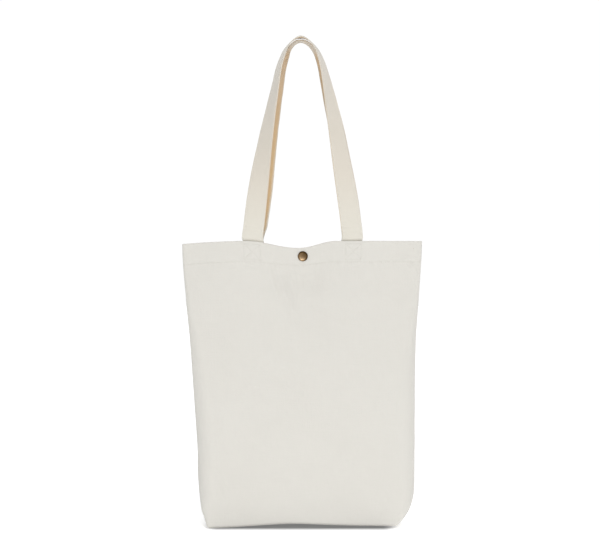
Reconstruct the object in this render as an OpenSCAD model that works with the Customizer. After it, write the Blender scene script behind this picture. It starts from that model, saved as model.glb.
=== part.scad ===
// Standing canvas tote bag with two sewn strap handles and a round snap fastener.
// Millimetres. +Z up, X across the bag, front of the bag towards -Y.
// The origin is on the floor under the middle of the base.

/* [Bag] */
// Half of the cloth's width from side seam to side seam
half_cloth = 180; // [150:1:200]
// Height of the mouth where the handles are sewn on
body_h = 430; // [410:1:450]
// Half of the base's length
base_half_w = 141; // [135:1:145]
// Half of the base's depth
base_half_d = 39; // [36:0.5:42]
// Thickness of the canvas
cloth_t = 1.6; // [1.2:0.1:1.8]
// How far the mouth dips between the handles
mouth_dip = 10; // [0:1:14]
// How far the dip reaches on each side of the snap
dip_reach = 62; // [40:1:75]
// How far the mouth drops from the handles to the side seams
mouth_end_drop = 4; // [0:1:8]
// How far the slack mouth bows open beside the snap
mouth_bow = 8; // [6:0.5:10]

/* [Hem] */
// Height of the hem at the handles
hem_h = 31.5; // [28:0.5:34]
// Thickness of the folded hem
hem_t = 1.5; // [1.2:0.1:1.6]

/* [Handles] */
// Width of the strap
strap_w = 32; // [28:1:36]
// Thickness of the strap
strap_t = 2; // [1.6:0.1:2.2]
// Distance of each handle leg from the middle of the bag
strap_x = 75; // [70:1:80]
// Height of a handle's legs above the mouth
leg_h = 280; // [260:5:300]
// Half of the distance between a handle's legs where the arch starts
arch_x = 30; // [26:1:34]
// How far in front of the middle the front handle's legs stand
strap_y = 11; // [10.5:0.5:12]

/* [Snap] */
// Radius of the snap's cap
cap_r = 7.6; // [7:0.1:8]
// Radius of the socket, the stud's plate and the eyelet
plate_r = 6.2; // [5.8:0.1:6.6]
// Distance of the snap's centre below the dipped edge of the mouth
snap_drop = 14; // [12:0.5:15]

/* [Hidden] */

canvas = [0.89, 0.88, 0.84];
webbing = [0.86, 0.83, 0.77];
thread = [0.93, 0.91, 0.86];
bronze = [0.46, 0.35, 0.23];
steel = [0.62, 0.60, 0.56];

// Half width of the standing bag at each height
width_profile = [
    [0, base_half_w], [8, 146], [18, 151], [28, 155], [40, 158], [55, 160],
    [100, 162.5], [160, 165], [220, 168], [280, 171], [340, 176], [390, half_cloth]
];
// Depth from the middle of the bag to the front at its vertical edges
depth_profile = [
    [0, base_half_d], [18, 33], [55, 28.5], [160, 26], [220, 21], [280, 15.5],
    [340, 8.5], [390, 4]
];
// Radius of the bag's vertical edges
edge_profile = [[0, 3], [18, 10], [55, 20], [160, 26], [280, 15.5], [340, 8.5], [390, 4]];
// How far the front swells between its vertical edges
crown_profile = [[0, 0], [55, 4], [160, 7], [280, 10], [340, 9], [394, 0]];
// Share of the mouth's bowed outline at each height
bow_profile = [[0, 0], [300, 0], [360, 0.5], [394, 1]];
// Share of the mouth edge's rise and fall at each height
edge_share = [[0, 0], [280, 0], [350, 0.5], [394, 1]];

// Heights of the panels' rows and distances of their columns along the cloth
row_heights = [
    0, 8, 18, 28, 40, 55, 85, 120, 160, 220, 280, 320, 350, 375, 394, 403, 412, 421, body_h
];
column_steps = concat([for (l = [0:7.5:120]) l], [for (l = [130:5:180]) l]);
cloth_columns = concat(
    [for (i = [len(column_steps) - 1:-1:1]) -column_steps[i]], column_steps);

snap_pull = 1.7;        // how far the snap's thickness holds the two hems apart
hem_pinch = 5.5;        // how much lower the hem is at the snap
front_side_gap = 0.8;   // from the middle plane to the front panel's side edges
back_side_gap = 0.5;    // from the middle plane to the back panel's side edges
front_floor_gap = 0.4;  // the front panel swings, so it stands clear of the floor
running_gap = 0.3;      // between pieces that move past each other
sewn_gap = 0.05;        // between plies that are sewn flat on each other
base_t = 2;
seam_w = 12;
seam_h = 2.5;
stitch_w = 0.8;
stitch_t = 0.35;
stitch_seat = 0.1;      // from the curved cloth to the underside of its stitching
box_half = 12;          // half of the sewn square on each handle end
box_top = 4;            // from the mouth to the sewn square
strap_end = 33;         // length of handle sewn inside the hem
edge_margin = 3;        // from the strap's edge to its edge stitching
nest = 6;               // how far the back handle stands inside the front one
arch_nest = 3.6;
foot_y = 8.7;
arch_y = 8;
leg_rings = 22;
arch_rings = 10;
post_r = 2;
hole_r = 2.05;

snap_z = body_h - mouth_dip - snap_drop;
cloth_face = lookup(body_h, depth_profile) + snap_pull;
inner_face = cloth_face - cloth_t - hem_t - 2 * sewn_gap;

function square_of(v) = v * v;

// Share of the dip between the handles at a distance x from the middle
function dip(x) = abs(x) < dip_reach ? square_of(cos(90 * abs(x) / dip_reach)) : 0;

// Height of the mouth's edge at a distance x from the middle
function mouth_z(x) =
    body_h - mouth_dip * dip(x)
        - mouth_end_drop * square_of(max(abs(x) - strap_x, 0) / (half_cloth - strap_x));

// The hem is lower in the middle, where the snap pinches the mouth
function hem_drop(x) = hem_h - hem_pinch * dip(x);

// How far the cloth stands out from the plain box at this place
function swell(x, w, z) =
    let (across = min(abs(x) / w, 1))
    (lookup(z, crown_profile) + snap_pull * lookup(z, bow_profile))
        * (1 - square_of(across))
        + mouth_bow * lookup(z, bow_profile) * square_of(sin(180 * across));

// A point of the front half: l runs along the cloth from its middle, inset goes inwards
function front_xy(l, z, inset, gap) =
    let (
        w = lookup(z, width_profile) - inset,
        d = lookup(z, depth_profile) - inset,
        r = max(min(lookup(z, edge_profile) - inset, d - gap), 0.2),
        face = w - r,
        arc = r * PI / 2,
        side = max(d - r - gap, 0),
        s = abs(l) / half_cloth * (face + arc + side),
        way = l < 0 ? -1 : 1,
        turn = min(max(s - face, 0) / arc, 1) * 90,
        x = min(s, face) + r * sin(turn),
        y = d - r + r * cos(turn) + swell(x, w, z) * cos(turn) - max(s - face - arc, 0)
    )
    [way * x, -y];

// The same point in space: the edge of the mouth shapes the rows near it
function front_point(l, z, inset, gap) =
    let (p = front_xy(l, z, inset, gap))
    [p[0], p[1], z + (mouth_z(p[0]) - body_h) * lookup(z, edge_share)];

// A point at a distance below the mouth's edge
function hem_point(l, below, inset, gap) =
    front_point(l, body_h - below, inset, gap);

// A closed sheet between two matching grids of points
module slab(outer, inner) {
    rows = len(outer);
    columns = len(outer[0]);
    layer = rows * columns;
    last_row = rows - 1;
    last_column = columns - 1;
    function at(i, j, k) = k * layer + i * columns + j;
    function quad(a, b, c, d) = [[a, b, c], [a, c, d]];
    grid = [for (i = [0:last_row - 1], j = [0:last_column - 1]) each concat(
        quad(at(i, j, 0), at(i + 1, j, 0), at(i + 1, j + 1, 0), at(i, j + 1, 0)),
        quad(at(i, j, 1), at(i, j + 1, 1), at(i + 1, j + 1, 1), at(i + 1, j, 1)))];
    ends = [for (i = [0:last_row - 1]) each concat(
        quad(at(i, 0, 0), at(i, 0, 1), at(i + 1, 0, 1), at(i + 1, 0, 0)),
        quad(at(i, last_column, 0), at(i + 1, last_column, 0),
             at(i + 1, last_column, 1), at(i, last_column, 1)))];
    edges = [for (j = [0:last_column - 1]) each concat(
        quad(at(0, j, 0), at(0, j + 1, 0), at(0, j + 1, 1), at(0, j, 1)),
        quad(at(last_row, j, 0), at(last_row, j, 1),
             at(last_row, j + 1, 1), at(last_row, j + 1, 0)))];
    points = concat([for (row = outer) each row], [for (row = inner) each row]);
    polyhedron(points, concat(grid, ends, edges));
}

module post_hole(from_y, to_y) {
    translate([0, from_y, snap_z]) rotate([-90, 0, 0])
        cylinder(r = hole_r, h = to_y - from_y, $fn = 32);
}

// One panel: a face and half of each side wall
module panel(gap, floor_gap) {
    function grid(inset) = [for (z = row_heights)
        [for (l = cloth_columns) front_point(l, max(z, floor_gap), inset, gap)]];
    difference() {
        slab(grid(0), grid(cloth_t));
        post_hole(-cloth_face - 3, 0);
    }
}

// The cloth folded to the inside along the mouth
module hem(gap) {
    depth = cloth_t + sewn_gap;
    function grid(inset) = [for (share = [1, 0.5, 0])
        [for (l = cloth_columns)
            hem_point(l, share * (hem_drop(l) + 3) + 0.1, inset, gap)]];
    difference() {
        slab(grid(depth), grid(depth + hem_t));
        post_hole(-cloth_face - 3, 0);
    }
}

// A sewn line on the outside of the hem, from one place to another
module stitch_line(from, to, steps) {
    run = to - from;
    across = [-run[1], run[0]] / norm(run) * stitch_w / 2;
    function place(i, side, inset) =
        let (p = from + run * i / steps + side * across)
        hem_point(p[0], p[1], inset, front_side_gap);
    function grid(inset) = [for (side = [1, -1])
        [for (i = [0:steps]) place(i, side, inset)]];
    slab(grid(-stitch_t), grid(-stitch_seat));
}

module hem_stitching() {
    function grid(inset) = [for (side = [1, -1])
        [for (l = [-174:6:174])
            hem_point(l, hem_drop(l) + side * stitch_w / 2, inset, front_side_gap)]];
    slab(grid(-stitch_t), grid(-stitch_seat));
}

// A sewn square with its two diagonals, around a handle end
module box_stitching(x) {
    low = box_top + 2 * box_half;
    corners = [[x - box_half, box_top], [x + box_half, box_top],
               [x + box_half, low], [x - box_half, low]];
    for (i = [0:3]) stitch_line(corners[i], corners[(i + 1) % 4], 3);
    for (i = [0:1]) stitch_line(corners[i], corners[i + 2], 4);
}

// The ends of a handle, sewn flat inside the hem
module handle_end(x, gap) {
    depth = cloth_t + hem_t + 2 * sewn_gap;
    function grid(inset) = [for (below = [strap_end, strap_end / 2, 0])
        [for (i = [-2:2]) hem_point(x + i * strap_w / 4, below, inset, gap)]];
    slab(grid(depth), grid(depth + strap_t));
}

// A leg's distance from the middle and its lean, where v is its height as a share
function leg_x(v) = strap_x - (strap_x - arch_x) * (0.6 * v + 0.4 * v * v);
function leg_lean(v) = atan((strap_x - arch_x) * (0.6 + 0.8 * v) / leg_h);
arch_start = leg_lean(1);
arch_r = arch_x / cos(arch_start);
foot_gap = 2.2;

// One ring of a handle: middle of the strap, the way towards the loop's inside, and twist.
// w runs from 0 at the foot through 1 where the arch starts to 2 at the top.
function ring(w, inward) =
    let (
        v = min(w, 1),
        turn = arch_start + (90 - arch_start) * max(w - 1, 0),
        lean = w < 1 ? leg_lean(v) : turn,
        inside = [-cos(lean), -sin(lean)],
        middle = w < 1
            ? [leg_x(v), foot_gap + leg_h * v]
            : arch_r * [cos(turn), sin(turn)]
                + [0, foot_gap + leg_h - arch_r * sin(arch_start)],
        step_in = inward * lookup(w, [[0, 0], [0.35, nest], [0.85, nest], [1.6, arch_nest]]),
        y = lookup(w, [[0, foot_y], [0.3, strap_y], [0.9, strap_y], [2, arch_y]]),
        twist = w < 1
            ? 76 * pow(sin(90 * v), 1.5)
            : 76 + 14 * (w - 1)
    )
    [middle + step_in * inside, inside, y, twist];

// A point of a handle's cross-section: a runs across the strap, b through its thickness
function strap_point(r, way, a, b) =
    let (
        across = [r[1][0] * cos(r[3]), -sin(r[3]), r[1][1] * cos(r[3])],
        through = [-r[1][0] * sin(r[3]), -cos(r[3]), -r[1][1] * sin(r[3])],
        p = [r[0][0], -r[2], r[0][1]] + a * across + b * through
    )
    [way * p[0], p[1], p[2] + body_h];

half_path = concat([for (i = [0:leg_rings - 1]) i / leg_rings],
                   [for (i = [0:arch_rings]) 1 + i / arch_rings]);
path = concat(
    [for (w = half_path) [w, -1]],
    [for (i = [len(half_path) - 2:-1:0]) [half_path[i], 1]]);

// A strip of the handle through the given places across it, between two depths
module strap_strip(inward, places, b0, b1) {
    function grid(b) = [for (a = places)
        [for (p = path) strap_point(ring(p[0], inward), p[1], a, b)]];
    slab(grid(b1), grid(b0));
}

// The two edges of a line of stitches, from the outer one to the inner one
stitch_edges = [
    strap_w / 2 - edge_margin + stitch_w / 2,
    strap_w / 2 - edge_margin - stitch_w / 2
];

module handle(inward) {
    places = concat(
        [strap_w / 2], stitch_edges, [0], [-stitch_edges[1], -stitch_edges[0], -strap_w / 2]);
    strap_strip(inward, places, -strap_t / 2, strap_t / 2);
}

module handle_stitching(inward) {
    lines = [stitch_edges, [-stitch_edges[1], -stitch_edges[0]]];
    for (line = lines) strap_strip(inward, line, strap_t / 2, strap_t / 2 + stitch_t);
}

// The allowances of a side seam, standing inside the bag
module side_seam(way) {
    function x_at(z, in) = way * (lookup(z, width_profile) - in);
    function height(z) =
        max(z, base_t + seam_h + sewn_gap)
            + (mouth_z(half_cloth) - body_h) * lookup(z, edge_share);
    function grid(y) = [for (z = row_heights)
        [for (in = way > 0 ? [seam_w, running_gap] : [running_gap, seam_w])
            [x_at(z, in), y, height(z)]]];
    slab(grid(-back_side_gap), grid(back_side_gap));
}

// Profiles are drawn as [radius, distance] and stand along the snap's axis, front up
module snap_part() {
    translate([0, 0, snap_z]) rotate([90, 0, 0]) rotate_extrude($fn = 96) children();
}

module front_panel() {
    color(canvas) panel(front_side_gap, front_floor_gap);
}

module back_panel() {
    color(canvas) mirror([0, 1, 0]) panel(back_side_gap, 0);
}

// A flat outline on the floor of the bag, with its corners cut, clear of the walls up to z
module floor_outline(z, trim, back_gap) {
    cut = 8;
    inset = cloth_t + running_gap + trim;
    half_w = base_half_w - inset;
    depth = lookup(z, depth_profile);
    front = inset - depth;
    back = depth - cloth_t - trim - back_gap;
    polygon([
        [cut - half_w, front], [half_w - cut, front], [half_w, front + cut],
        [half_w, back - cut], [half_w - cut, back], [cut - half_w, back],
        [-half_w, back - cut], [-half_w, front + cut]]);
}

module base_panel() {
    color(canvas) linear_extrude(base_t) floor_outline(base_t, 0, sewn_gap);
}

module base_seam() {
    strip = 8;
    top = base_t + seam_h;
    color(canvas) translate([0, 0, base_t]) linear_extrude(seam_h) difference() {
        floor_outline(top, 0, sewn_gap);
        floor_outline(top, strip, sewn_gap);
    }
}

module left_side_seam() { color(canvas) side_seam(-1); }
module right_side_seam() { color(canvas) side_seam(1); }

module front_hem() { color(canvas) hem(front_side_gap); }
module back_hem() { color(canvas) mirror([0, 1, 0]) hem(back_side_gap); }

module front_hem_stitching() { color(thread) hem_stitching(); }
module back_hem_stitching() { color(thread) mirror([0, 1, 0]) hem_stitching(); }

module front_handle() { color(webbing) handle(0); }
module back_handle() { color(webbing) mirror([0, 1, 0]) handle(1); }

module front_handle_stitching() { color(thread) handle_stitching(0); }
module back_handle_stitching() { color(thread) mirror([0, 1, 0]) handle_stitching(1); }

module front_handle_ends() {
    color(webbing) for (x = [-strap_x, strap_x]) handle_end(x, front_side_gap);
}

module back_handle_ends() {
    color(webbing) mirror([0, 1, 0])
        for (x = [-strap_x, strap_x]) handle_end(x, back_side_gap);
}

module front_left_box_stitching() { color(thread) box_stitching(-strap_x); }
module front_right_box_stitching() { color(thread) box_stitching(strap_x); }
module back_left_box_stitching() { color(thread) mirror([0, 1, 0]) box_stitching(-strap_x); }
module back_right_box_stitching() { color(thread) mirror([0, 1, 0]) box_stitching(strap_x); }

cap_seat = cloth_face + running_gap;
rim_r = 0.8;            // radius of the cap's rolled rim
dish_r = cap_r - 1.2;
dish_low = 0.75;        // height of the dished face, in the middle and at the rim
dish_high = 1.45;
socket_seat = inner_face - sewn_gap;
socket_mouth = -0.35;
cavity_r = 3.2;
cavity_floor = 1.5;
rivet_r = 2.8;
rivet_t = 0.5;

// The dished cap with its rolled rim and its post, riveted over inside the socket
module snap_cap() {
    rim = [for (a = [-90:15:105])
        [cap_r - rim_r + rim_r * cos(a), cap_seat + rim_r + rim_r * sin(a)]];
    dish = [for (share = [1:-0.125:0])
        [dish_r * share, cap_seat + dish_low + (dish_high - dish_low) * square_of(share)]];
    post = [[0, cavity_floor - rivet_t], [rivet_r, cavity_floor - rivet_t],
            [rivet_r, cavity_floor], [post_r, cavity_floor], [post_r, cap_seat]];
    color(bronze) snap_part() polygon(concat(post, rim, dish));
}

module snap_socket() {
    chamfer = 0.7;
    color(bronze) snap_part() polygon([
        [hole_r, socket_seat], [plate_r, socket_seat], [plate_r, socket_mouth + chamfer],
        [plate_r - chamfer, socket_mouth], [cavity_r, socket_mouth],
        [cavity_r, cavity_floor], [hole_r, cavity_floor]]);
}

// The wire ring that grips the stud's head
module snap_spring() {
    wire_r = 0.35;
    color(steel) snap_part() translate([cavity_r - wire_r - 0.05, 0.15]) circle(r = wire_r, $fn = 24);
}

stud_seat = -inner_face + sewn_gap;
stud_plate = stud_seat + 1.2;
stud_tip = 0.6;
neck_r = 1.4;
head_r = 1.9;

module snap_stud() {
    blind = 0.6;
    color(bronze) snap_part() polygon([
        [hole_r, stud_seat], [plate_r, stud_seat], [plate_r - 0.5, stud_plate],
        [neck_r, stud_plate], [neck_r, stud_tip - 0.9], [head_r, stud_tip - 0.6],
        [head_r, stud_tip - 0.3], [head_r - 0.4, stud_tip], [0, stud_tip],
        [0, stud_seat + blind], [hole_r, stud_seat + blind]]);
}

// The eyelet that holds the stud from the back of the bag
module snap_eyelet() {
    flange_t = 1.1;
    color(bronze) snap_part() polygon([
        [0, stud_seat + 0.5], [post_r, stud_seat + 0.5], [post_r, -cap_seat],
        [plate_r, -cap_seat], [plate_r - 0.6, -cap_seat - flange_t],
        [1.2, -cap_seat - flange_t], [0.8, -cap_seat - 0.3], [0, -cap_seat - 0.3]]);
}

front_panel();
back_panel();
base_panel();
base_seam();
left_side_seam();
right_side_seam();
front_hem();
back_hem();
front_hem_stitching();
back_hem_stitching();
front_handle();
back_handle();
front_handle_stitching();
back_handle_stitching();
front_handle_ends();
back_handle_ends();
front_left_box_stitching();
front_right_box_stitching();
back_left_box_stitching();
back_right_box_stitching();
snap_cap();
snap_socket();
snap_spring();
snap_stud();
snap_eyelet();
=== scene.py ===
"""Looks of a standing canvas tote bag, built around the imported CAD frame.

Shapes are worked out in millimetres in the row frame (+Z up, front towards -Y) and
made as meshes in metres. A place on a panel is (l, z): l is the distance along the
cloth from the panel's middle, positive to the right, and z is the row's height.
"""

import math

import bmesh
import bpy
import numpy as np
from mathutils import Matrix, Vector


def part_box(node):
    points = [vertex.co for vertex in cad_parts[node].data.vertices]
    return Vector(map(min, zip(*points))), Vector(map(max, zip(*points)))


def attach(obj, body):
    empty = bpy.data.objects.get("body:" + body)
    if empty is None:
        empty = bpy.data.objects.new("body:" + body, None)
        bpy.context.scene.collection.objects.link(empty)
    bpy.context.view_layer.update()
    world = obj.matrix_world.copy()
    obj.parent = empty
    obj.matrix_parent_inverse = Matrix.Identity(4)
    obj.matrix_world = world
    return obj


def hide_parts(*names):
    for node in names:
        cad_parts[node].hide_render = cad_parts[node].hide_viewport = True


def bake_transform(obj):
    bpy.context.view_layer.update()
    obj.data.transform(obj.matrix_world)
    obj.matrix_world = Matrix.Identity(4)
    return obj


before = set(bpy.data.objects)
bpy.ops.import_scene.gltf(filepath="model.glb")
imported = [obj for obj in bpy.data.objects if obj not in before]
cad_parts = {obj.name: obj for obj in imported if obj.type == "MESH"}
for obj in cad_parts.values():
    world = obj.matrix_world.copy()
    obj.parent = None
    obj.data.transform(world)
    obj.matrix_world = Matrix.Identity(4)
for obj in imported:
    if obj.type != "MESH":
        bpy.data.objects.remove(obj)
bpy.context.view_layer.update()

MM = 0.001
FRONT = -1
BACK = 1

# The bag, from the frame's own sizes where the frame has them
BODY_H = round(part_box("front_panel")[1].z / MM)
HALF_CLOTH = 180.0
CLOTH_T = 1.3
HEM_T = 1.5
HEM_H = 31.5
HEM_PINCH = 5.5
MOUTH_DIP = 10.5
DIP_X = -7.0
DIP_REACH_LEFT = 78.0
DIP_REACH_RIGHT = 58.0
LEFT_END_DROP = 4.5
MOUTH_BOW = 8.0
SNAP_PULL = 1.7
SNAP_Z = (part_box("snap_cap")[0].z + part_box("snap_cap")[1].z) / 2 / MM
CAP_R = 7.6
BASE_HALF_W = 141.0
BASE_HALF_D = 38.5
BASE_CURL = 4.0
BASE_FLAP = 11.0
SEAM_GAP = 0.12
SEAM_PULL = 1.6
SIDE_ALLOWANCE = 11.0
BASE_ALLOWANCE = 7.0

# The front's middle, which swings all the way, and its seams and base, which don't swing
SWING_ALL_X = 94.0
SWING_NONE_X = 166.0
SWING_NONE_Z = 20.0
SWING_ALL_Z = 385.0

# The handles. A leg leans inwards over its height, and the arch joins the two legs
STRAP_W = 31.5
STRAP_T = 2.0
STRAP_END = 33.0
STRAP_DEPTH = CLOTH_T + HEM_T + 0.35
LEG_FOOT = 75.0
LEG_LEAN = 45.0
LEG_H = 280.0
FOOT_GAP = 2.2
LEG_TOP = FOOT_GAP + LEG_H
ARCH_RUN = 88.0
ARCH_SAG = 1.4
TOP_PINCH = 0.42
TOP_PINCH_H = 56.0

# Stitching
THREAD_R = 0.28
THREAD_FLAT = 1.25
STITCH = 3.0
STITCH_GAP = 0.5
EDGE_LINE = 3.0
BOX_HALF = 12.0
BOX_TOP = 4.0
BOX_LOW = BOX_TOP + 2 * BOX_HALF

# Colours. Each canvas varies from its colour to its shade. The handles' underside is tan, with
# painted shade of the gap between the two handles, and the handles' canvas is multiplied by a
# tone of painted shade that darkens it up the legs and over the arch
CANVAS = (0.69, 0.674, 0.63)
CANVAS_SHADE = (0.66, 0.642, 0.595)
STRAP_CANVAS = (0.7, 0.675, 0.605)
STRAP_SHADE = (0.665, 0.635, 0.56)
SEED_SPECK = (0.42, 0.33, 0.22)
# The handles' tan underside, with painted shade of the gap between the two handles
TAN_AND_GAP_SHADE = (0.62, 0.45, 0.26)
# Painted shade that darkens and warms the handles up their legs and over the arch
UPPER_SHADE_TONE = (0.975, 0.945, 0.93)
THREAD = (0.72, 0.7, 0.64)
HEM_THREAD = (0.66, 0.64, 0.59)
# Colour steps of the brass, for its patina and for the painted shade on the snap cap
PATINA_AND_SHADE = [
    (0.0, (0.05, 0.03, 0.013)), (0.3, (0.085, 0.052, 0.022)), (0.6, (0.24, 0.157, 0.081)),
    (1.0, (0.7, 0.5, 0.31)),
]
STEEL = (0.55, 0.53, 0.5)


# ---------------------------------------------------------------- curves and fields


def curve(points):
    """A smooth curve through (place, value) points, with no overshoot between them."""
    x, y = np.array(points, float).T
    h = np.diff(x)
    slope = np.diff(y) / h
    tangent = np.zeros_like(y)
    before, after = slope[:-1], slope[1:]
    same_way = before * after > 0
    total = np.where(same_way, before + after, 1)
    tangent[1:-1] = np.where(same_way, 2 * before * after / total, 0)
    tangent[0], tangent[-1] = slope[0], slope[-1]

    def value(at):
        at = np.clip(at, x[0], x[-1])
        i = np.clip(np.searchsorted(x, at) - 1, 0, len(h) - 1)
        t = (at - x[i]) / h[i]
        return (
            (1 + 2 * t) * (1 - t) ** 2 * y[i]
            + t * (1 - t) ** 2 * h[i] * tangent[i]
            + t * t * (3 - 2 * t) * y[i + 1]
            + t * t * (t - 1) * h[i] * tangent[i + 1]
        )

    return value


def ramp(value, low, high):
    """0 before low, 1 after high and a smooth rise between them."""
    t = np.clip((value - low) / (high - low), 0, 1)
    return t * t * (3 - 2 * t)


def clouds(u, v, size, seed):
    """Smooth seeded noise from about -1 to 1, with lumps of about that size."""
    cells = 96
    lattice = np.random.default_rng(seed).uniform(-1, 1, (cells, cells))
    a, b = np.broadcast_arrays(np.asarray(u) / size, np.asarray(v) / size)
    i, j = np.floor(a).astype(int), np.floor(b).astype(int)
    s, t = a - i, b - j
    s, t = s * s * (3 - 2 * s), t * t * (3 - 2 * t)
    corners = [lattice[(i + m) % cells, (j + n) % cells] for m in (0, 1) for n in (0, 1)]
    low = corners[0] * (1 - t) + corners[1] * t
    high = corners[2] * (1 - t) + corners[3] * t
    return low * (1 - s) + high * s


def run_along(points):
    """Distance along a line of points, at each of them."""
    steps = np.linalg.norm(np.diff(points, axis=0), axis=1)
    return np.concatenate([[0], np.cumsum(steps)])


def fold(l, z, start, end, width, height):
    """A soft fold that runs from start to end on the cloth and fades at both ends."""
    run = np.subtract(end, start)
    length = np.hypot(*run)
    along = ((l - start[0]) * run[0] + (z - start[1]) * run[1]) / length**2
    across = ((l - start[0]) * run[1] - (z - start[1]) * run[0]) / length
    fade = np.exp(-(((along - 0.5) / 0.42) ** 4))
    return height * np.exp(-((across / width) ** 2)) * fade


# ---------------------------------------------------------------- the bag's outline

# By height z: half widths to the left and the right, half depth at the corners, and the
# radius of the upright edges
left_edge = curve([
    (0, 142), (8, 145.5), (18, 149.5), (26, 152.8), (40, 154.3), (70, 156.2), (100, 157.6),
    (160, 161.7), (220, 166.2), (280, 170.9), (340, 176.9), (400, 180.6), (430, 181.6),
])
right_edge = curve([
    (0, 140), (8, 147.5), (18, 154.4), (26, 158.6), (40, 163.2), (55, 165.4), (100, 166.8),
    (160, 168.3), (220, 169.9), (280, 171.5), (340, 175.8), (400, 178.6), (430, 179.6),
])
depth = curve([
    (0, 38.5), (18, 34.4), (55, 30), (160, 26), (220, 21), (280, 15.5), (340, 8.5), (394, 4),
    (430, 4),
])
edge_radius = curve([
    (0, 3), (18, 10), (55, 20), (160, 26), (280, 15.5), (340, 8.5), (394, 4), (430, 4),
])

# By height z: how far the cloth swells out in the middle and bows beside the snap, and
# how much of the dip in the mouth's edge it takes up
crown = curve([(0, 0), (55, 4), (160, 7), (280, 10), (340, 9), (394, 0), (430, 0)])
bow = curve([(0, 0), (300, 0), (360, 0.5), (394, 1), (430, 1)])
edge_share = curve([(0, 0), (280, 0), (350, 0.5), (394, 1), (430, 1)])


def dip(x):
    """Share of the mouth's dip at the snap, longer to the left than to the right."""
    reach = np.where(x < DIP_X, DIP_REACH_LEFT, DIP_REACH_RIGHT)
    return np.cos(np.pi / 2 * np.clip(np.abs(x - DIP_X) / reach, 0, 1)) ** 2


def mouth_z(x):
    """Height of the mouth's edge."""
    left_end = np.clip((-x - LEG_FOOT) / (HALF_CLOTH - LEG_FOOT), 0, 1) ** 2
    return BODY_H - 1 - MOUTH_DIP * dip(x) - LEFT_END_DROP * left_end


# By x: how far the bottom edges are off the floor
front_lift = curve([
    (-145, 0), (-112, 1.2), (-60, 4.6), (-14, 6.8), (30, 5.4), (84, 3.9), (140, 3.4),
])
back_lift = curve([(-140, 0), (-60, 2.2), (0, 3.2), (60, 2), (140, 0)])


def base_lift(x, side):
    """How far the bottom edge is off the floor. The bag stands on three of its corners."""
    return front_lift(x) if side == FRONT else back_lift(x)


def floor_lift(x, v):
    """How far the base is off the floor. v is -1 at its front edge and 1 at its back."""
    share = (1 + v) / 2
    return front_lift(x) * (1 - share) + back_lift(x) * share


def hem_drop(x):
    """Height of the hem, lower at the snap that pinches it."""
    return HEM_H - HEM_PINCH * dip(x)


def swell(x, w, z):
    """How far the cloth stands out from the plain box."""
    across = np.clip(np.abs(x) / w, 0, 1)
    dome = (crown(z) + SNAP_PULL * bow(z)) * (1 - across**2)
    return dome + MOUTH_BOW * bow(z) * np.sin(np.pi * across) ** 2


def smooth_point(l, z, inset, side):
    """A point of a panel before its wrinkles."""
    l, z, inset = np.broadcast_arrays(np.asarray(l, float), z, inset)
    w = np.where(l < 0, left_edge(z), right_edge(z)) - inset
    d = depth(z) - inset
    r = np.maximum(np.minimum(edge_radius(z) - inset, d - SEAM_GAP), 0.2)
    face = w - r
    arc = r * np.pi / 2
    wall = np.maximum(d - r - SEAM_GAP, 0)
    s = np.abs(l) / HALF_CLOTH * (face + arc + wall)
    turn = np.clip((s - face) / arc, 0, 1) * np.pi / 2
    x = np.minimum(s, face) + r * np.sin(turn)
    y = d - r + r * np.cos(turn) - np.maximum(s - face - arc, 0)
    seam_pull = SEAM_PULL * ramp(z, 6, 60) * (1 - ramp(z, 330, 420))
    x = x - seam_pull * np.exp(-((y / 4.5) ** 2))
    y = y + swell(x, w, z) * np.cos(turn)
    x = np.sign(l) * x
    height = z + (mouth_z(x) - BODY_H) * edge_share(z)
    height = height + base_lift(x, side) * (1 - ramp(z, 0, 70))
    return np.stack([x, side * y, height], axis=-1)


# ---------------------------------------------------------------- wrinkles

# Soft waves of the cloth: height, size and squeeze. A squeeze below 1 makes them taller
WAVES = [(2.0, 85, 1), (0.85, 34, 0.8), (0.13, 11, 1), (0.07, 5, 1)]

# Folds of each panel: start, end, half width and height
FRONT_FOLDS = [
    ((-40, 402), (-14, 306), 9.0, -3.4),
    ((-25, 408), (-2, 322), 8.0, 1.6),
    ((-52, 410), (-34, 340), 8.0, 1.0),
    ((22, 402), (12, 350), 7.0, -0.5),
    ((36, 404), (30, 352), 9.0, 0.4),
    ((-118, 264), (16, 196), 11.0, -1.0),
    ((-104, 278), (30, 212), 12.0, 0.8),
    ((-134, 92), (-126, 30), 8.0, -2.0),
    ((-142, 205), (-132, 100), 10.0, -1.6),
    ((154, 399), (173, 388), 3.5, -1.5),
    ((120, 352), (138, 190), 16.0, 0.9),
    ((104, 300), (118, 120), 18.0, -0.7),
    ((40, 122), (122, 64), 15.0, -1.3),
    ((-60, 150), (40, 90), 20.0, 0.9),
    ((128, 60), (108, 8), 8.0, -1.0),
    ((-84, 70), (-104, 8), 9.0, -0.8),
]
BACK_FOLDS = [
    ((34, 398), (14, 318), 7.0, -1.6),
    ((20, 402), (4, 342), 6.0, 1.0),
    ((-26, 400), (-14, 346), 7.0, -0.9),
    ((96, 268), (-22, 214), 10.0, -0.8),
    ((-116, 340), (-128, 180), 16.0, 0.8),
    ((130, 172), (122, 84), 9.0, -0.9),
    ((-126, 92), (-112, 20), 9.0, -1.1),
    ((30, 140), (-60, 80), 16.0, 0.6),
]


def box_groove(l, z):
    """Dents along the sewn squares that hold the handle ends."""
    down = BODY_H - z - BOX_TOP - BOX_HALF
    dent = np.zeros(np.broadcast(l, z).shape)
    for x in (-LEG_FOOT, LEG_FOOT):
        right = l - x
        edge = np.maximum(np.abs(right), np.abs(down))
        square = np.exp(-(((edge - BOX_HALF) / 1.3) ** 2))
        diagonal = np.minimum(np.abs(down - right), np.abs(down + right)) / math.sqrt(2)
        cross = np.exp(-((diagonal / 1.2) ** 2)) * (edge < BOX_HALF)
        dent = np.maximum(dent, np.maximum(square, cross))
    return dent


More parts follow.
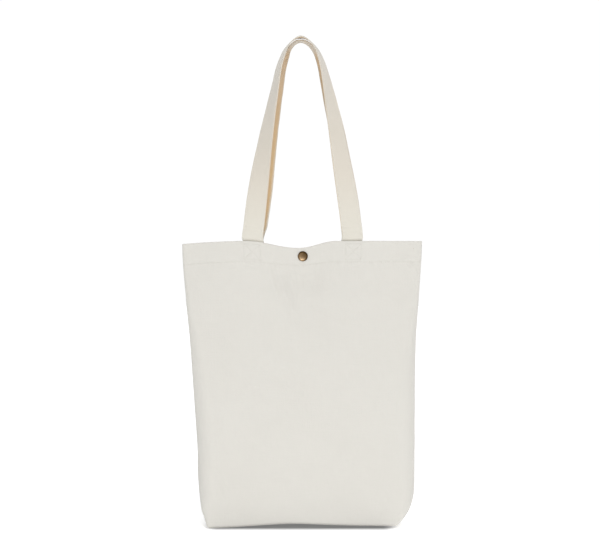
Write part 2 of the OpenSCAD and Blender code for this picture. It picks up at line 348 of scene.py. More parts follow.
def hem_relief(l, z, seed):
    """The hem stands out a little, with a groove and small puckers along its stitching."""
    line = BODY_H - z - hem_drop(l)
    step = 0.3 * ramp(-line, -2, 4)
    groove = 0.2 * np.exp(-((line / 1.8) ** 2))
    puckers = 0.16 * np.sin(l * 0.62 + 2.2 * clouds(l + 400, z, 30, seed))
    return step - groove + puckers * np.exp(-((line / 7) ** 2))


def foot_creases(l, z):
    """A curved dent in the panel below each end of the handle."""
    dent = 0
    for x in (-LEG_FOOT, LEG_FOOT):
        smile = BODY_H - z - 38 + 0.02 * (l - x) ** 2
        dent = dent + 0.75 * np.exp(-((smile / 3.0) ** 2)) * np.exp(-(((l - x) / 13) ** 4))
    return dent


def relief(l, z, side):
    """How far the wrinkled cloth stands out from the smooth panel."""
    seed = 11 if side == FRONT else 47
    height = 0
    for k, (size, spread, squeeze) in enumerate(WAVES):
        height = height + size * clouds(l + 400, z * squeeze, spread, seed + k)
    height = height * (0.35 + 0.65 * ramp(BODY_H - z, 10, 60))
    for start, end, width, size in FRONT_FOLDS if side == FRONT else BACK_FOLDS:
        height = height + fold(l, z, start, end, width, size)
    height = height + hem_relief(l, z, seed + len(WAVES))
    height = height - 0.45 * box_groove(l, z) - foot_creases(l, z)
    calm = ramp(z, 0, 25) * (1 - ramp(np.abs(l), 168, 179))
    return height * calm


def outward(l, z, inset, side):
    """The panel's outward direction at each place."""
    step = 0.6
    top = np.minimum(z + step, BODY_H)
    reach = HALF_CLOTH - 0.05
    right = np.minimum(l + step, reach)
    along = smooth_point(right, z, inset, side) - smooth_point(right - 2 * step, z, inset, side)
    up = smooth_point(l, top, inset, side) - smooth_point(l, top - 2 * step, inset, side)
    normal = np.cross(along, up) * -side
    return normal / np.linalg.norm(normal, axis=-1, keepdims=True)


def panel_point(l, z, inset, side):
    """A point of a panel with its wrinkles."""
    l, z, inset = (np.array(v, float) for v in np.broadcast_arrays(l, z, inset))
    normal = outward(l, np.maximum(z, 1.0), np.zeros_like(l), side)
    return smooth_point(l, z, inset, side) + normal * relief(l, z, side)[..., None]


# ---------------------------------------------------------------- meshes


def add_mesh(name, points, faces, material, uv=None):
    """A smooth shaded object from points in millimetres. uv has one place per point."""
    mesh = bpy.data.meshes.new(name)
    mesh.from_pydata((np.asarray(points).reshape(-1, 3) * MM).tolist(), [], faces)
    mesh.validate()
    mesh.shade_smooth()
    if uv is not None:
        layer = mesh.uv_layers.new(name="UVMap")
        corners = np.zeros(len(mesh.loops), np.int32)
        mesh.loops.foreach_get("vertex_index", corners)
        layer.data.foreach_set("uv", (np.asarray(uv).reshape(-1, 2) * MM)[corners].ravel())
    piece = bpy.data.objects.new(name, mesh)
    bpy.context.scene.collection.objects.link(piece)
    mesh.materials.append(material)
    return piece


def sheet_faces(rows, columns, first=0, flip=False):
    """Quads of a grid of points, row after row."""
    i, j = np.meshgrid(np.arange(rows - 1), np.arange(columns - 1), indexing="ij")
    a = (first + i * columns + j).ravel()
    quads = np.stack([a, a + 1, a + columns + 1, a + columns], axis=1)
    return (quads[:, ::-1] if flip else quads).tolist()


def thick_sheet(name, outer, inner, uv, material):
    """A closed sheet between two matching grids of points, joined along all four edges."""
    rows, columns = outer.shape[:2]
    layer = rows * columns
    faces = sheet_faces(rows, columns) + sheet_faces(rows, columns, layer, True)
    border = (
        [(0, j) for j in range(columns)]
        + [(i, columns - 1) for i in range(1, rows)]
        + [(rows - 1, j) for j in range(columns - 2, -1, -1)]
        + [(i, 0) for i in range(rows - 2, 0, -1)]
    )
    ring = [i * columns + j for i, j in border]
    for a, b in zip(ring, ring[1:] + ring[:1]):
        faces.append([b, a, a + layer, b + layer])
    points = np.concatenate([outer.reshape(-1, 3), inner.reshape(-1, 3)])
    both = np.concatenate([uv.reshape(-1, 2), uv.reshape(-1, 2)])
    return add_mesh(name, points, faces, material, both)


def fix_normals(piece):
    """Turns the faces of a closed piece outwards."""
    work = bmesh.new()
    work.from_mesh(piece.data)
    bmesh.ops.recalc_face_normals(work, faces=work.faces)
    work.to_mesh(piece.data)
    work.free()
    return piece


def stitches(name, lines, material, sides=6, rings=5):
    """Separate stitches along lines of (points, outward directions). Their ends sink in."""
    shift = np.linspace(0, 1, rings)
    swell_up = np.sqrt(np.clip(1 - (2 * shift - 1) ** 4, 0.05, 1))
    turn = np.arange(sides) / sides * 2 * np.pi
    points, faces = [], []
    for line, normals in lines:
        run = run_along(line)
        count = max(int(run[-1] / STITCH), 1)
        pitch = run[-1] / count
        for k in range(count):
            at = k * pitch + STITCH_GAP / 2 + shift * (pitch - STITCH_GAP)
            centre = np.stack([np.interp(at, run, line[:, c]) for c in range(3)], axis=1)
            normal = np.stack([np.interp(at, run, normals[:, c]) for c in range(3)], axis=1)
            ahead = centre[-1] - centre[0]
            ahead = ahead / max(np.linalg.norm(ahead), 1e-9)
            across = np.cross(ahead, normal)
            rise = THREAD_R * (0.9 * swell_up[:, None] - 0.55) * normal
            first = len(points)
            for m in range(rings):
                for angle in turn:
                    out = across[m] * math.cos(angle) * THREAD_FLAT + normal[m] * math.sin(angle)
                    points.append(centre[m] + rise[m] + out * THREAD_R * swell_up[m])
            for m in range(rings - 1):
                for n in range(sides):
                    a = first + m * sides + n
                    b = first + m * sides + (n + 1) % sides
                    faces.append([a, b, b + sides, a + sides])
            faces.append([first + n for n in range(sides)][::-1])
            faces.append([first + (rings - 1) * sides + n for n in range(sides)])
    return fix_normals(add_mesh(name, points, faces, material))


# ---------------------------------------------------------------- materials


def set_up(name, colour, roughness, **sockets):
    """A new material with its shader's own sockets set."""
    material = bpy.data.materials.new(name)
    material.use_nodes = True
    shader = material.node_tree.nodes["Principled BSDF"]
    shader.inputs["Base Color"].default_value = (*colour, 1)
    shader.inputs["Roughness"].default_value = roughness
    for socket, value in sockets.items():
        shader.inputs[socket.replace("_", " ")].default_value = value
    return material, material.node_tree, shader


def math_node(tree, operation, a, b=None):
    """A Math node whose inputs are numbers or other nodes' outputs."""
    node = tree.nodes.new("ShaderNodeMath")
    node.operation = operation
    for socket, value in zip(node.inputs, (a, b)):
        if isinstance(value, (int, float)):
            socket.default_value = value
        elif value is not None:
            tree.links.new(value, socket)
    return node.outputs[0]


def noise_node(tree, place, scale, detail=3.0, stretch=(1, 1, 1)):
    """Noise from 0 to 1 at a place, stretched along its axes."""
    mapping = tree.nodes.new("ShaderNodeMapping")
    mapping.inputs["Scale"].default_value = stretch
    tree.links.new(place, mapping.inputs["Vector"])
    node = tree.nodes.new("ShaderNodeTexNoise")
    node.inputs["Scale"].default_value = scale
    node.inputs["Detail"].default_value = detail
    tree.links.new(mapping.outputs[0], node.inputs["Vector"])
    return node.outputs["Fac"]


def colour_steps(tree, value, stops):
    """A colour ramp through (place, colour) stops."""
    node = tree.nodes.new("ShaderNodeValToRGB")
    node.color_ramp.elements[0].position = stops[0][0]
    node.color_ramp.elements[1].position = stops[-1][0]
    for place, _ in stops[1:-1]:
        node.color_ramp.elements.new(place)
    for element, (_, colour) in zip(node.color_ramp.elements, stops):
        element.color = (*colour, 1)
    tree.links.new(value, node.inputs["Fac"])
    return node.outputs["Color"]


def mix_colour(tree, share, a, b, way="MIX"):
    """Colour a turning into colour b. Both may be outputs or plain colours."""
    node = tree.nodes.new("ShaderNodeMix")
    node.data_type = "RGBA"
    node.blend_type = way
    tree.links.new(share, node.inputs["Factor"])
    for socket, value in ((node.inputs[6], a), (node.inputs[7], b)):
        if isinstance(value, tuple):
            socket.default_value = (*value, 1)
        else:
            tree.links.new(value, socket)
    return node.outputs[2]


def bump(tree, shader, height, distance, strength=1.0):
    """Gives the shader its fine surface."""
    node = tree.nodes.new("ShaderNodeBump")
    node.inputs["Strength"].default_value = strength
    node.inputs["Distance"].default_value = distance
    tree.links.new(height, node.inputs["Height"])
    tree.links.new(node.outputs[0], shader.inputs["Normal"])


def woven(name, colour, shade, pitch, relief_depth, tones=None):
    """Plain weave canvas: warp over weft in turn, slubs, soft tone, a few seed specks and painted
    shade in the gaps between the threads.
    A tones function may colour it further by its place."""
    material, tree, shader = set_up(
        name, colour, 0.93, Sheen_Weight=0.35, Sheen_Roughness=0.5, Specular_IOR_Level=0.2
    )
    place = tree.nodes.new("ShaderNodeTexCoord").outputs["UV"]
    split = tree.nodes.new("ShaderNodeSeparateXYZ")
    tree.links.new(place, split.inputs[0])
    waves = [
        math_node(tree, "SINE", math_node(tree, "MULTIPLY", split.outputs[c], math.pi / pitch))
        for c in (0, 1)
    ]
    warp, weft = (math_node(tree, "ABSOLUTE", wave) for wave in waves)
    over = math_node(tree, "MULTIPLY", waves[0], waves[1])
    over = math_node(tree, "ADD", math_node(tree, "MULTIPLY", over, 0.5), 0.5)
    under = math_node(tree, "SUBTRACT", 1.0, over)
    threads = math_node(
        tree, "ADD", math_node(tree, "MULTIPLY", warp, over), math_node(tree, "MULTIPLY", weft, under)
    )
    slub_up = noise_node(tree, place, 700, 2, (1, 0.06, 1))
    slub_across = noise_node(tree, place, 700, 2, (0.06, 1, 1))
    slubs = math_node(tree, "ADD", slub_up, slub_across)
    height = math_node(tree, "ADD", threads, math_node(tree, "MULTIPLY", slubs, 1.3))
    bump(tree, shader, height, relief_depth)
    tone = noise_node(tree, place, 9, 4)
    base = mix_colour(tree, tone, colour, shade)
    dark = tuple(c * 0.93 for c in shade)
    # Painted shade in the gaps between the threads
    gap_shade = math_node(tree, "MULTIPLY", math_node(tree, "SUBTRACT", 1.0, threads), 0.35)
    base = mix_colour(tree, gap_shade, base, dark)
    slub_tone = math_node(tree, "MULTIPLY", math_node(tree, "SUBTRACT", slubs, 0.8), 0.35)
    base = mix_colour(tree, slub_tone, base, dark)
    speck = noise_node(tree, place, 240, 1)
    seeds = math_node(tree, "GREATER_THAN", speck, 0.83)
    base = mix_colour(tree, math_node(tree, "MULTIPLY", seeds, 0.5), base, SEED_SPECK)
    if tones:
        base = tones(tree, split, base)
    tree.links.new(base, shader.inputs["Base Color"])
    return material


def between(tree, value, low, high, soft):
    """1 where the value lies between low and high, fading over soft at both ends."""
    rise = tree.nodes.new("ShaderNodeMapRange")
    fall = tree.nodes.new("ShaderNodeMapRange")
    for node, start, end in ((rise, low, low + soft), (fall, high, high - soft)):
        node.interpolation_type = "SMOOTHSTEP"
        node.inputs["From Min"].default_value = min(start, end)
        node.inputs["From Max"].default_value = max(start, end)
        if start > end:
            node.inputs["To Min"].default_value = 1
            node.inputs["To Max"].default_value = 0
        tree.links.new(value, node.inputs["Value"])
    return math_node(tree, "MULTIPLY", rise.outputs[0], fall.outputs[0])


def strap_tones(tree, split, base, arch):
    """Painted shade darkens and warms the handles up their legs and over the arch. Their underside
    is tan, with painted shade of the gap between the two handles, on both legs, and on the arch
    too where arch is true. Their sewn ends stay plain."""
    around, run = split.outputs[0], split.outputs[1]
    low = (STRAP_W + STRAP_T * 0.6 + 0.8) * MM
    under = between(tree, around, low, low + (STRAP_W - 3.4) * MM, 0.7 * MM)
    start, leg = STRAP_END * MM, LEG_H * MM
    end = 2 * (start + leg) + ARCH_RUN * MM
    # Painted shade: the handles get darker and warmer up their legs and over the arch
    shade_up = between(tree, run, start, end - start, 0.4 * leg)
    base = mix_colour(tree, shade_up, base, UPPER_SHADE_TONE, "MULTIPLY")
    # Partly the handles' own tan underside and partly painted shade of the gap between the two
    # handles; on the back handle it stops short of its lit arch
    hidden, soft = 30 * MM, 20 * MM
    if arch:
        tan_and_shade = between(tree, run, hidden, end - hidden, soft)
    else:
        left = between(tree, run, hidden, start + 1.1 * leg, soft)
        right = between(tree, run, end - start - 1.1 * leg, end - hidden, soft)
        tan_and_shade = math_node(tree, "ADD", left, right)
    return mix_colour(tree, math_node(tree, "MULTIPLY", under, tan_and_shade), base, TAN_AND_GAP_SHADE)


def woven_strap(name, arch):
    """A handle's canvas. Its underside is tan with painted shade, on the arch too where arch is true.
    """

    def tones(tree, split, base):
        return strap_tones(tree, split, base, arch)

    return woven(name, STRAP_CANVAS, STRAP_SHADE, pitch=0.8 * MM, relief_depth=0.00009, tones=tones)


def spun_thread(name, colour):
    """Cotton sewing thread."""
    material, tree, shader = set_up(name, colour, 0.8, Sheen_Weight=0.15)
    place = tree.nodes.new("ShaderNodeTexCoord").outputs["Object"]
    fibres = noise_node(tree, place, 2600, 2, (1, 1, 0.4))
    bump(tree, shader, fibres, 0.0001)
    tone = noise_node(tree, place, 160, 2)
    tree.links.new(
        mix_colour(tree, tone, colour, tuple(c * 0.9 for c in colour)), shader.inputs["Base Color"]
    )
    return material


def antique_brass(name, stops):
    """Brass with a patina, darkest on the cap's rim, and with painted shade that darkens it towards
    its upper right.
    """
    material, tree, shader = set_up(name, stops[1][1], 0.34, Metallic=1.0)
    place = tree.nodes.new("ShaderNodeTexCoord").outputs["Object"]
    centred = tree.nodes.new("ShaderNodeVectorMath")
    centred.operation = "SUBTRACT"
    centred.inputs[1].default_value = (0, 0, SNAP_Z * MM)
    tree.links.new(place, centred.inputs[0])
    split = tree.nodes.new("ShaderNodeSeparateXYZ")
    tree.links.new(centred.outputs[0], split.inputs[0])
    x, z = (math_node(tree, "DIVIDE", split.outputs[c], CAP_R * MM) for c in (0, 2))
    radius = math_node(
        tree, "SQRT",
        math_node(tree, "ADD", math_node(tree, "MULTIPLY", x, x), math_node(tree, "MULTIPLY", z, z)),
    )
    rim = between(tree, radius, 0.66, 3.0, 0.25)
    # Painted shade: the cap darker towards its upper right
    slope = math_node(
        tree, "ADD", math_node(tree, "MULTIPLY", x, 0.38), math_node(tree, "MULTIPLY", z, 0.62)
    )
    patches = noise_node(tree, place, 500, 3)
    tone = math_node(tree, "SUBTRACT", 0.56, math_node(tree, "MULTIPLY", rim, 0.3))
    tone = math_node(tree, "SUBTRACT", tone, math_node(tree, "MULTIPLY", slope, 0.5))
    uneven = math_node(tree, "MULTIPLY", math_node(tree, "SUBTRACT", patches, 0.5), 0.3)
    tone = math_node(tree, "ADD", tone, uneven)
    tree.links.new(colour_steps(tree, tone, stops), shader.inputs["Base Color"])
    scratches = noise_node(tree, place, 1500, 3, (1, 1, 6))
    rough = math_node(tree, "ADD", math_node(tree, "MULTIPLY", scratches, 0.2), 0.25)
    tree.links.new(rough, shader.inputs["Roughness"])
    bump(tree, shader, scratches, 0.00003)
    return material


canvas = woven("canvas", CANVAS, CANVAS_SHADE, pitch=0.85 * MM, relief_depth=0.00014)
strap_canvas = {
    FRONT: woven_strap("front_strap_canvas", True),
    BACK: woven_strap("back_strap_canvas", False),
}
thread = spun_thread("thread", THREAD)
hem_thread = spun_thread("hem_thread", HEM_THREAD)
brass = antique_brass("antique_brass", PATINA_AND_SHADE)
steel, _, _ = set_up("spring_steel", STEEL, 0.3, Metallic=1.0)


# ---------------------------------------------------------------- how much each point follows the front


def front_share(points):
    """How much each point follows the front: all of it at the mouth's middle, none at
    the side seams and the base, where the front is sewn to the rest of the bag."""
    across = 1 - ramp(np.abs(points[:, 0]), SWING_ALL_X * MM, SWING_NONE_X * MM)
    return across * ramp(points[:, 2], SWING_NONE_Z * MM, SWING_ALL_Z * MM)


def inverse_smooth(share):
    """The place between 0 and 1 at which a smooth step has this share."""
    places = np.linspace(0, 1, 401)
    return np.interp(share, ramp(places, 0, 1), places)


def bend_with_front(piece):
    """Works out how much each point follows the front. The piece keeps its rest shape."""
    mesh = piece.data
    count = len(mesh.vertices)
    rest = np.zeros(count * 3, np.float32)
    mesh.vertices.foreach_get("co", rest)
    share = front_share(rest.reshape(-1, 3))
    line = np.zeros((count, 3), np.float32)
    line[:, 0] = inverse_smooth(share)
    mesh.vertices.foreach_set("co", line.ravel())
    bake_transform(piece)
    mesh.vertices.foreach_set("co", rest)
    mesh.update()


# ---------------------------------------------------------------- cloth panels


def panel_columns():
    """Places along the cloth, closer together at the handles, the snap and the seams."""
    spans = [(0, 14, 1.4), (14, 54, 2.5), (54, 97, 1.25), (97, 160, 2.6), (160, 179, 1.5)]
    half = np.concatenate([np.arange(*span) for span in spans] + [[179.3, HALF_CLOTH]])
    return np.concatenate([-half[:0:-1], half])


def panel_rows():
    """(height, inset) of the outer face, and the same of the inner face, row by row."""
    rows = [(0, BASE_FLAP, CLOTH_T, BASE_FLAP)]
    inner = BASE_CURL - CLOTH_T
    for angle in np.radians(np.linspace(-90, 0, 7)):
        rows.append((
            BASE_CURL + BASE_CURL * math.sin(angle), BASE_CURL - BASE_CURL * math.cos(angle),
            BASE_CURL + inner * math.sin(angle), BASE_CURL - inner * math.cos(angle),
        ))
    hem_thick = CLOTH_T + HEM_T
    hem_start = BODY_H - HEM_H - 3
    heights = np.concatenate([
        np.arange(6.5, 385, 3.1), np.arange(385, hem_start, 1.5), np.arange(hem_start, 427.5, 1.2)
    ])
    for z in heights:
        inset = CLOTH_T + HEM_T * (z >= hem_start)
        rows.append((z, 0, z, inset))
    radius = hem_thick / 2
    for angle in np.radians([15, 35, 55, 75, 88]):
        z = BODY_H - radius + radius * math.sin(angle)
        inset = radius - radius * math.cos(angle)
        rows.append((z, inset, z, hem_thick - inset))
    return np.array(rows)


def cloth_panel(name, side):
    """One panel from under the base to the folded hem inside the mouth."""
    rows = panel_rows()
    l = np.tile(panel_columns(), (len(rows), 1))
    outer = panel_point(l, rows[:, 0, None], rows[:, 1, None], side)
    inner = panel_point(l, rows[:, 2, None], rows[:, 3, None], side)
    run = rows[:, 0] - rows[:, 1]
    uv = np.stack(np.broadcast_arrays(l, run[:, None]), axis=-1)
    return fix_normals(thick_sheet(name, outer, inner, uv, canvas))


def base_cloth():
    """The floor of the bag, lying on the panels' flaps and as warped as the bottom edges."""
    u, v = np.meshgrid(np.linspace(-1, 1, 121), np.linspace(-1, 1, 33))
    x = u * (BASE_HALF_W - BASE_CURL - 1)
    y = v * (BASE_HALF_D - BASE_CURL - 1)
    waves = 0.2 * np.abs(clouds(x + 300, y + 300, 40, 81))
    waves = waves * (1 - np.abs(u) ** 6) * (1 - np.abs(v) ** 4)
    outer = np.stack([x, y, floor_lift(x, v) + CLOTH_T + 0.25 + waves], axis=-1)
    inner = outer + np.array([0, 0, CLOTH_T])
    uv = np.stack([x, y], axis=-1)
    return fix_normals(thick_sheet("base_cloth", outer, inner, uv, canvas))


front_cloth = cloth_panel("front_cloth", FRONT)
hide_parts("front_panel", "front_hem")
bend_with_front(front_cloth)

back_cloth = cloth_panel("back_cloth", BACK)
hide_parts("back_panel", "back_hem")
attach(back_cloth, "bag")

base = base_cloth()
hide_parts("base_panel")
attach(base, "bag")


# ---------------------------------------------------------------- handles


def leg_x(v):
    """Distance of a handle's leg from the middle, at a share v of its height."""
    return LEG_FOOT - LEG_LEAN * (0.6 * v + 0.4 * v * v)


def leg_angle(v):
    """How far the leg leans from upright, at a share v of its height."""
    return math.atan(LEG_LEAN * (0.6 + 0.8 * v) / LEG_H)


ARCH_START = leg_angle(1)
ARCH_R = leg_x(1) / math.cos(ARCH_START)
LOOP_TOP = LEG_TOP + ARCH_R * (1 - math.sin(ARCH_START))

# Distance of the handles from the middle of the bag, by w: 0 at the foot and 2 at the top
strap_y = curve([(0, 10.9), (0.3, 11.3), (0.9, 11), (2, 8)])

# How far the handles hang to the left, by height
handle_drift = curve([(0, 0.2), (60, 0.4), (220, 0.3), (LOOP_TOP, 3.0)])

# By leg, -1 for the left and 1 for the right: how far it turns, in degrees, and how far
# the back handle lies inside the front one, both by w
LEG_TWIST = {
    -1: curve([(0, 0), (0.16, 8), (0.48, 43), (0.72, 63), (0.88, 73), (1, 77), (2, 90)]),
    1: curve([(0, 0), (0.16, 8), (0.48, 37), (0.72, 54), (0.88, 69), (1, 76), (2, 90)]),
}
STEP_INWARD = {
    -1: curve([(0, 3.5), (0.3, 6.5), (0.85, 6), (1.6, 4.4), (2, 4.6)]),
    1: curve([(0, 0), (0.25, -1.2), (0.55, -1.5), (0.85, 2), (1.4, 4.2), (2, 4.6)]),
}


def handle_ring(w, way, inward):
    """Middle, inward direction, depth and twist of a handle. w is 0 at the foot, 1 where
    the arch starts and 2 at the top, and inward is 1 for the back handle and 0 for the front."""
    if w < 1:
        lean = leg_angle(w)
        middle = np.array([leg_x(w), FOOT_GAP + LEG_H * w])
    else:
        lean = ARCH_START + (math.pi / 2 - ARCH_START) * (w - 1)
        middle = ARCH_R * np.array([math.cos(lean), math.sin(lean)])
        middle[1] += LEG_TOP - ARCH_R * math.sin(ARCH_START) - ARCH_SAG * (w - 1) ** 2
    inside = -np.array([math.cos(lean), math.sin(lean)])
    middle = middle + inward * float(STEP_INWARD[way](w)) * inside
    return middle, inside, float(strap_y(w)), math.radians(float(LEG_TWIST[way](w)))


def loose_point(w, way, a, b, inward, side):
    """A point of the free handle: a runs across it, b through it."""
    middle, inside, y, twist = handle_ring(w, way, inward)
    a, b = np.broadcast_arrays(a, b)
    x = middle[0] + inside[0] * (a * math.cos(twist) - b * math.sin(twist))
    z = middle[1] + inside[1] * (a * math.cos(twist) - b * math.sin(twist))
    depth_y = y + a * math.sin(twist) + b * math.cos(twist)
    pinch = 1 - TOP_PINCH * np.clip((z - LOOP_TOP) / TOP_PINCH_H + 1, 0, 1) ** 2
    bow_in = 3.0 * (way > 0) * ramp(z, 20, 140) * (1 - ramp(z, 240, 300))
    x = way * (x - bow_in) * pinch - handle_drift(z)
    return np.stack([x, side * depth_y, z + BODY_H], axis=-1)


def sewn_point(height, way, a, b, side):
    """A point of the handle's end: flat inside the hem, and coming forward above it."""
    a, b = np.broadcast_arrays(a, b)
    l = way * (LEG_FOOT - a)
    z = np.full(l.shape, BODY_H + min(height, 0))
    forward = 2.2 * float(ramp(height, -1, 4))
    inset = STRAP_DEPTH + STRAP_T / 2 - b - forward
    point = smooth_point(l, z, inset, side)
    point[..., 2] += max(height, 0)
    return point


def strap_section(height, w, way, a, b, inward, side):
    """A ring of the handle, at a height above the mouth on a leg, or at w on the arch."""
    wrinkle = 0.25 * clouds(a + 90, height + 400 * way + 900, 14, 5 + side)
    slanted = height - 0.22 * a * way
    dent = 0.45 * np.exp(-(((slanted - 15) / 2.6) ** 2))
    ridge = 0.25 * np.exp(-(((slanted - 21) / 4.0) ** 2))
    b = b + wrinkle + (ridge - dent) * (height > 2)
    free = float(ramp(height, 1, 24))
    low = sewn_point(height, way, a, b, side)
    if free == 0:
        return low
    return free * loose_point(w, way, a, b, inward, side) + (1 - free) * low


def strap_stations():
    """(height above the mouth, w, way) of each ring, from the left end to the right end.
    On the arch the height only places the wrinkles, so it rises evenly with w."""
    heights = np.concatenate([np.arange(-STRAP_END, 40, 1.3), np.arange(40, LEG_TOP, 2.4)])
    leg = [(h, max((h - FOOT_GAP) / LEG_H, 0)) for h in heights]
    arch_rise = 60
    arch = [(LEG_TOP + arch_rise * (w - 1), w) for w in np.linspace(1, 2, 40)]
    half = [station for station in leg if station[1] < 0.998] + arch
    return [(*s, -1) for s in half] + [(*s, 1) for s in half[-2::-1]]


def strap_outline():
    """The cross-section: flat faces, rounded edges, hollows along the stitching."""
    half_w, half_t = STRAP_W / 2, STRAP_T / 2
    flat = np.linspace(half_w - half_t, half_t - half_w, 23)
    groove = 0.16 * np.exp(-(((np.abs(flat) - half_w + EDGE_LINE) / 1.1) ** 2))
    face = half_t - groove + 0.1 * np.cos(flat / half_w * np.pi / 2)
    turn = np.radians(np.linspace(90, -90, 7)[1:-1])
    far = [(half_t - half_w - half_t * math.cos(t), half_t * math.sin(t)) for t in turn]
    near = [(half_w - half_t + half_t * math.cos(t), half_t * math.sin(t)) for t in turn[::-1]]
    top = list(zip(flat, face))
    low = [(a, -b) for a, b in top[::-1]]
    return np.array(top + far + low + near)


def make_strap(name, inward, side):
    """One handle with its two sewn ends, as one closed ribbon."""
    outline = strap_outline()
    stations = strap_stations()
    a, b = outline.T
    rings = np.array([strap_section(*station, a, b, inward, side) for station in stations])
    count = len(outline)
    faces = []
    for i in range(len(stations) - 1):
        for j in range(count):
            k = (j + 1) % count
            faces.append([i * count + j, i * count + k, (i + 1) * count + k, (i + 1) * count + j])
    faces.append(list(range(count))[::-1])
    faces.append([(len(stations) - 1) * count + j for j in range(count)])
    middle = rings.mean(axis=1)
    around, run = run_along(outline), run_along(middle)
    uv = np.stack(np.broadcast_arrays(around[None, :], run[:, None]), axis=-1)
    return fix_normals(add_mesh(name, rings, faces, strap_canvas[side], uv))


def strap_lines(inward, side):
    """The two lines of edge stitching on both faces of a handle."""
    stations = [station for station in strap_stations() if station[0] > 3]
    lines = []
    for place in (STRAP_W / 2 - EDGE_LINE, EDGE_LINE - STRAP_W / 2):
        for face in (1, -1):
            a = np.array([place])
            b = np.array([face * (STRAP_T / 2 - 0.1)])
            line, core = (
                np.array([strap_section(*at, a, level, inward, side)[0] for at in stations])
                for level in (b, 0 * b)
            )
            normal = line - core
            normal = normal / np.linalg.norm(normal, axis=1, keepdims=True)
            lines.append((line, normal))
    return lines


for label, inward, side, body in (("front", 0, FRONT, "front"), ("back", 1, BACK, "bag")):
    strap = make_strap(f"{label}_strap", inward, side)
    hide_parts(f"{label}_handle", f"{label}_handle_ends")
    edge = stitches(f"{label}_strap_thread", strap_lines(inward, side), thread)
    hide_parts(f"{label}_handle_stitching")
    for piece in (strap, edge):
        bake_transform(piece)


# ---------------------------------------------------------------- sewn lines of the hem


def panel_line(start, end, side, inset):
    """A straight sewn line on the hem between two (l, distance below the mouth) places."""
    steps = max(int(np.hypot(*np.subtract(end, start))), 2)
    l = np.linspace(start[0], end[0], steps + 1)
    z = BODY_H - np.linspace(start[1], end[1], steps + 1)
    way = 1 if inset <= 0 else -1
    return panel_point(l, z, inset, side), way * outward(l, z, 0 * l, side)


def box_lines(x, side):
    """A sewn square and its diagonals, on the hem and on the handle end behind it."""
    left, right = x - BOX_HALF, x + BOX_HALF
    corners = [(left, BOX_TOP), (right, BOX_TOP), (right, BOX_LOW), (left, BOX_LOW)]
    pairs = [(corners[i], corners[(i + 1) % 4]) for i in range(4)]
    pairs += [(corners[0], corners[2]), (corners[1], corners[3])]
    behind = STRAP_DEPTH + STRAP_T
    return [panel_line(a, b, side, inset) for inset in (0, behind) for a, b in pairs]


def hem_lines(side):
    """The line that holds the hem, as it shows outside and inside."""
    l = np.arange(-176, 176.5, 1.0)
    z = BODY_H - hem_drop(l)
    outside = panel_point(l, z, 0, side), outward(l, z, 0 * l, side)
    inside = panel_point(l, z, CLOTH_T + HEM_T, side), -outward(l, z, 0 * l, side)
    return [outside, inside]


for label, side in (("front", FRONT), ("back", BACK)):
    sewn = [(f"{label}_hem_thread", hem_lines(side), f"{label}_hem_stitching")]
    for hand, x in (("left", -LEG_FOOT), ("right", LEG_FOOT)):
        sewn.append((
            f"{label}_{hand}_box_thread", box_lines(x, side), f"{label}_{hand}_box_stitching"
        ))
    for name, lines, node in sewn:
        piece = stitches(name, lines, hem_thread)
        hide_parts(node)
        if side == FRONT:
            bend_with_front(piece)
        else:
            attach(piece, "bag")


# ---------------------------------------------------------------- seams inside the bag


def side_allowance(name, way):
    """The raw edges of a side seam, pressed together inside the bag."""
    z = np.arange(8, BODY_H - 1.5, 3.0)
    across = np.linspace(0, 1, 6)
    v, u = np.meshgrid(z, across, indexing="ij")
    end = smooth_point(np.full(v.shape, way * HALF_CLOTH), v, CLOTH_T, FRONT)
    x = end[..., 0] - way * (0.2 + SIDE_ALLOWANCE * u)
    sway = 2.6 * u * clouds(v, u * 6, 42, 31 + way) * (1 - ramp(v, 330, 400))
    faces = [np.stack([x, sway + half, end[..., 2]], axis=-1) for half in (0.9, -0.9)]
    uv = np.stack([u * SIDE_ALLOWANCE, v], axis=-1)
    piece = fix_normals(thick_sheet(name, *faces, uv, canvas))
    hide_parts(name.replace("allowance", "side_seam"))
    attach(piece, "bag")


def base_allowance():
    """The raw edges of the base seam, standing round the floor of the bag."""
    half_w, half_d = BASE_HALF_W - 8, BASE_HALF_D - 7.5
    squareness = 12
    angles = np.radians(np.append(np.arange(0, 360, 1.5), 0))
    c, s = np.cos(angles), np.sin(angles)
    reach = (np.abs(c / half_w) ** squareness + np.abs(s / half_d) ** squareness) ** (-1 / squareness)
    at_ends = np.abs(reach * c) > half_w - 3
    rise = np.linspace(0, 1, 5)
    rows = []
    for t in rise:
        lean = 2.75 * t
        x = reach * c - lean * np.sign(c) * at_ends
        y = reach * s - lean * np.sign(s)
        floor = floor_lift(x, y / half_d) + 2 * CLOTH_T + 0.35
        z = floor + BASE_ALLOWANCE * t + 0.5 * clouds(x + 300, y + 300, 16, 71) * t
        rows.append(np.stack([x, y, z], axis=-1))
    outer = np.array(rows)
    about_two_mm_in = np.array([0.985, 0.94, 1])
    inner = outer * about_two_mm_in
    run = run_along(outer[0])
    uv = np.stack(np.broadcast_arrays(run[None, :], (rise * BASE_ALLOWANCE)[:, None]), axis=-1)
    piece = fix_normals(thick_sheet("base_allowance", outer, inner, uv, canvas))
    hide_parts("base_seam")
    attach(piece, "bag")


side_allowance("left_allowance", -1)
side_allowance("right_allowance", 1)
base_allowance()


# ---------------------------------------------------------------- snap

for node in ("snap_cap", "snap_socket", "snap_stud", "snap_eyelet"):
    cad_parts[node].material_slots[0].material = brass
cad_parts["snap_spring"].material_slots[0].material = steel


# ---------------------------------------------------------------- floor, light and camera


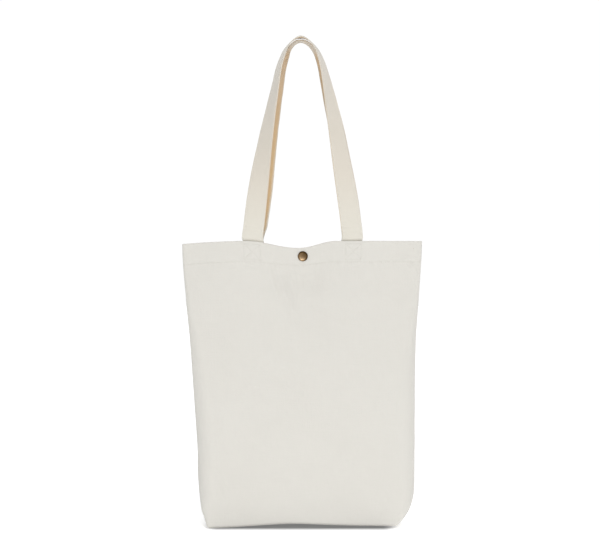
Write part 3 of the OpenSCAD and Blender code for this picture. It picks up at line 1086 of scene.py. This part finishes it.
def make_floor():
    """A plain white floor with a painted contact shadow close round the bag's foot."""
    bpy.ops.mesh.primitive_plane_add(size=60, location=(0, 0, 0))
    floor = bpy.context.active_object
    floor.name = "floor"
    # The floor's white and glow, and the grey and glow of the painted contact shadow
    white, near = (0.97, 0.97, 0.97), (0.36, 0.36, 0.36)
    glow_white, shadow_glow = (0.45, 0.45, 0.45), (0.15, 0.15, 0.15)
    material, tree, shader = set_up("floor_white", white, 1.0, Specular_IOR_Level=0.0)
    split = tree.nodes.new("ShaderNodeSeparateXYZ")
    tree.links.new(tree.nodes.new("ShaderNodeTexCoord").outputs["Object"], split.inputs[0])
    # Along x and y: centre and half size of the painted shadow, and the width of its soft edge
    patch = ((0, -4, 122, 28), (1, 0, 26, 62))
    squares = []
    for axis, centre, half, fade in patch:
        offset = math_node(tree, "SUBTRACT", split.outputs[axis], centre * MM)
        offset = math_node(tree, "SUBTRACT", math_node(tree, "ABSOLUTE", offset), half * MM)
        outside = math_node(tree, "DIVIDE", math_node(tree, "MAXIMUM", offset, 0.0), fade * MM)
        squares.append(math_node(tree, "MULTIPLY", outside, outside))
    distance = math_node(tree, "SQRT", math_node(tree, "ADD", *squares))
    shade = between(tree, distance, -2.0, 1.0, 1.0)
    tree.links.new(mix_colour(tree, shade, white, near), shader.inputs["Base Color"])
    shader.inputs["Emission Strength"].default_value = 1
    glow = mix_colour(tree, shade, glow_white, shadow_glow)
    tree.links.new(glow, shader.inputs["Emission Color"])
    floor.data.materials.append(material)


def add_sun(name, azimuth, elevation, strength, angle):
    """A soft sun, its angles in degrees. Azimuth 0 shines from the front, 90 from the right."""
    lamp = bpy.data.lights.new(name, "SUN")
    lamp.energy = strength
    lamp.angle = math.radians(angle)
    a, e = math.radians(azimuth), math.radians(elevation)
    source = Vector((math.sin(a) * math.cos(e), -math.cos(a) * math.cos(e), math.sin(e)))
    holder = bpy.data.objects.new(name, lamp)
    holder.rotation_euler = source.to_track_quat("Z", "Y").to_euler()
    bpy.context.scene.collection.objects.link(holder)


def light_world(fill):
    """White all round. The room itself is seen pure white, and lights the bag by fill."""
    seen_strength = 1.02
    world = bpy.data.worlds.new("studio")
    bpy.context.scene.world = world
    world.use_nodes = True
    tree = world.node_tree
    background = tree.nodes["Background"]
    background.inputs["Color"].default_value = (1, 1, 1, 1)
    seen = tree.nodes.new("ShaderNodeLightPath").outputs["Is Camera Ray"]
    strength = math_node(tree, "MULTIPLY", seen, seen_strength - fill)
    tree.links.new(math_node(tree, "ADD", strength, fill), background.inputs["Strength"])


def add_camera():
    """Level with the bag's middle, far enough for the long lens of a product shot."""
    distance = 3.6
    seen_width = 0.903
    middle_x, middle_z = -0.0042, 0.3703
    camera = bpy.data.cameras.new("camera")
    camera.sensor_width = 36
    camera.lens = camera.sensor_width * distance / seen_width
    holder = bpy.data.objects.new("camera", camera)
    holder.location = (middle_x, -distance, middle_z)
    holder.rotation_euler = (math.radians(90), 0, 0)
    bpy.context.scene.collection.objects.link(holder)
    bpy.context.scene.camera = holder


make_floor()
light_world(fill=0.4)
add_sun("key", azimuth=8, elevation=35, strength=1.35, angle=22)
add_sun("top", azimuth=20, elevation=80, strength=0.5, angle=30)
add_camera()
bpy.context.scene.view_settings.view_transform = "Standard"
